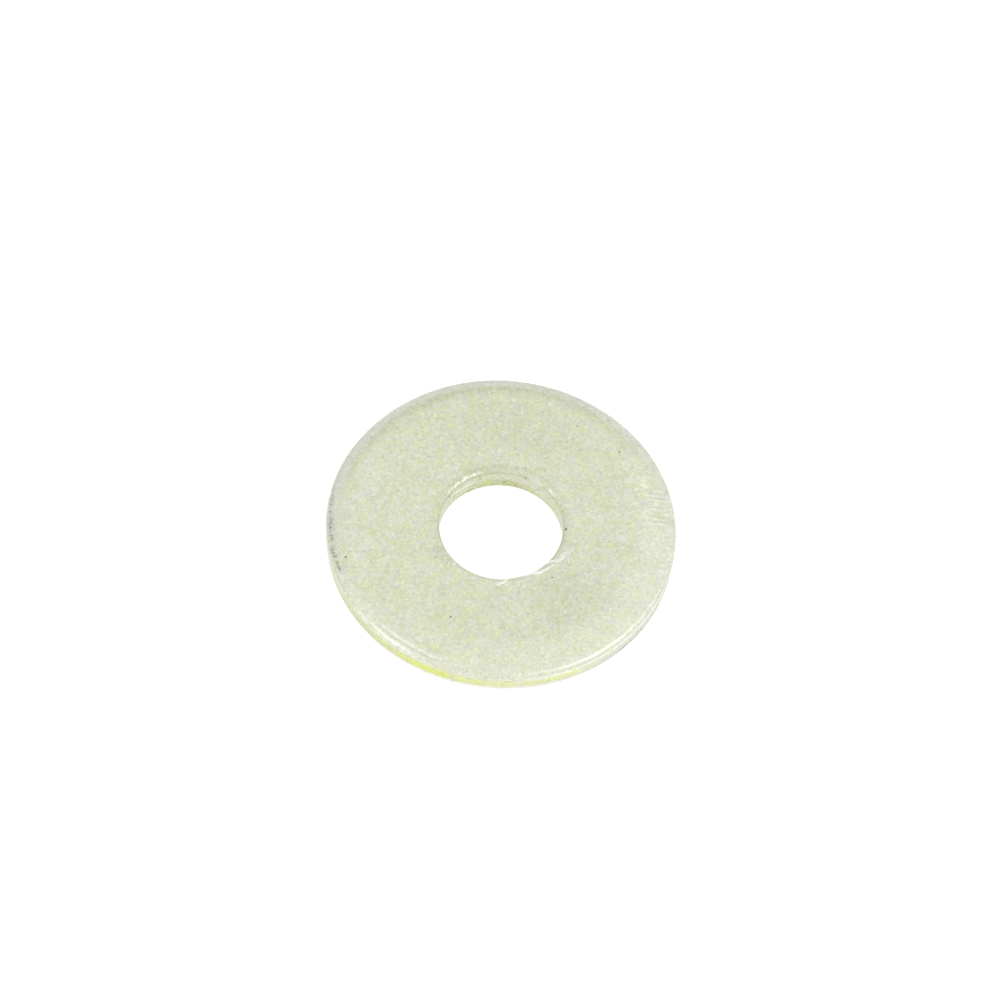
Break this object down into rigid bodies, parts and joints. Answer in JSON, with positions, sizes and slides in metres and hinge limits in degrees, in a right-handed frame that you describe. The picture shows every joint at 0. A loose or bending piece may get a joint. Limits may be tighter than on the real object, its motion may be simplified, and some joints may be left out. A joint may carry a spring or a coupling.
{
  "type": "flat washer",
  "caption": "Large-series flat washer for an M5 screw: a punched ring with a plain bore, rounded upper edges and a flat bearing face, zinc plated.",
  "frame": {"origin": "centre of the bore at the flat lower bearing face", "axes": "+Z along the bore's axis, from the flat lower face to the upper face with the rolled edges; the ring is round, so +X and +Y are any two directions across it"},
  "size_m": [0.015, 0.015, 0.0012],
  "materials": {
    "zinc_plated_steel": "satin zinc plate under a thin yellow-green passivation film"
  },
  "bodies": {
    "root": {"washer": "zinc_plated_steel"}
  },
  "joints": []
}
